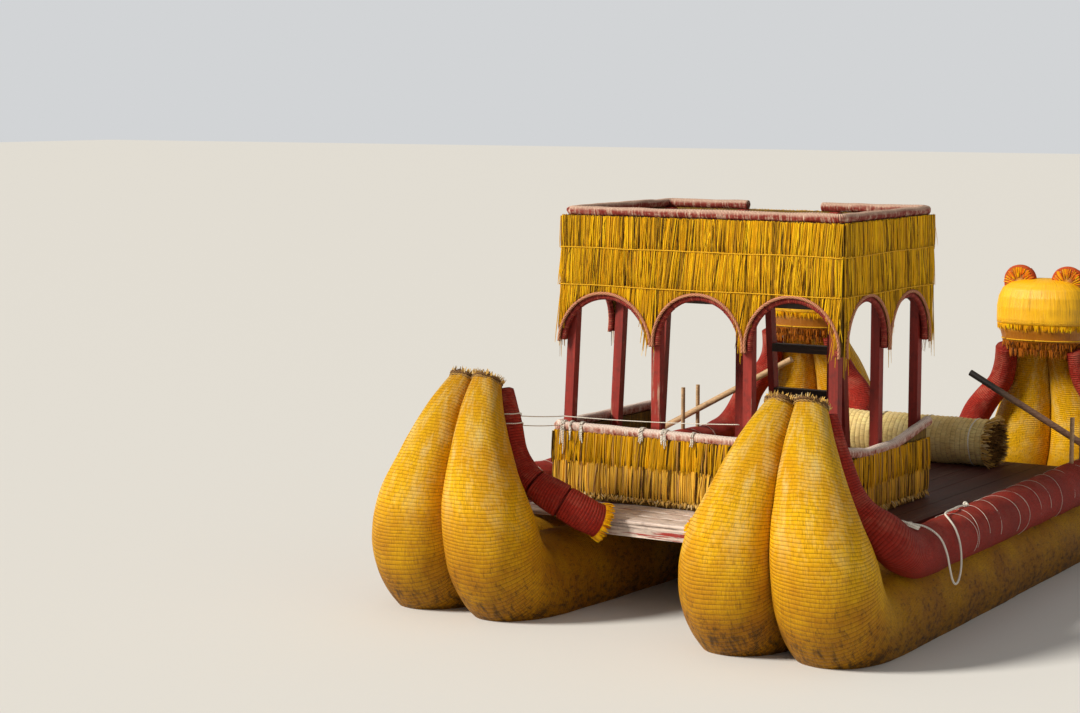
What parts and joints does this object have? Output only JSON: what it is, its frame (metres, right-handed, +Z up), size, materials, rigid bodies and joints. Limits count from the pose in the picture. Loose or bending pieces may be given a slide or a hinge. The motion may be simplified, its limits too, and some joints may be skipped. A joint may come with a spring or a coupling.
{
  "type": "reed boat",
  "caption": "Twin-hull bundled-reed boat with a thatched arched cabin, an upper deck with ladder, and animal-head prows.",
  "frame": {"origin": "amidships on the centreline, in the plane of the water the boat floats in", "axes": "+X to the bow with the animal heads, +Y to port, +Z up"},
  "size_m": [6.0721, 6.6205, 3.0369],
  "materials": {
    "reed": "dry golden reed, matt, bound every few centimetres",
    "painted_reed": "reed painted brick red, matt, bound with white twine",
    "thatch": "hanging split reed, matt",
    "wound_roll": "roll wound in faded red and white cord",
    "painted_wood": "worn brick red paint on wood",
    "grey_wood": "weathered bare boards",
    "bare_wood": "bare pole wood"
  },
  "bodies": {
    "root": {"aft_arch_rolls": "wound_roll", "aft_deck_boards": "grey_wood", "aft_edge_beam": "grey_wood", "aft_mat": "thatch", "aft_posts": "painted_wood", "aft_valance": "thatch", "deck_beams": "grey_wood", "deck_planks": "painted_wood", "floor_bearers": "grey_wood", "floor_boards": "grey_wood", "floor_joists": "grey_wood", "forward_arch_rolls": "wound_roll", "forward_posts": "painted_wood", "forward_valance": "thatch", "ladder_rungs": "painted_wood", "ladder_stiles": "painted_wood", "parapet_roll": "wound_roll", "port_arch_rolls": "wound_roll", "port_inner_bundle": "reed", "port_inner_gunwale_aft": "painted_reed", "port_inner_gunwale_bow": "painted_reed", "port_mat": "thatch", "port_oar": "bare_wood", "port_outer_bundle": "reed", "port_outer_gunwale": "painted_reed", "port_puma_ears": "painted_reed", "port_puma_head": "reed", "port_thole_pegs": "bare_wood", "port_valance": "thatch", "reed_log": "reed", "rim_roll": "wound_roll", "side_posts": "painted_wood", "starboard_arch_rolls": "wound_roll", "starboard_inner_bundle": "reed", "starboard_inner_gunwale_aft": "painted_reed", "starboard_inner_gunwale_bow": "painted_reed", "starboard_mat": "thatch", "starboard_oar": "bare_wood", "starboard_outer_bundle": "reed", "starboard_outer_gunwale": "painted_reed", "starboard_puma_ears": "painted_reed", "starboard_puma_head": "reed", "starboard_thole_pegs": "bare_wood", "starboard_valance": "thatch"}
  },
  "joints": []
}
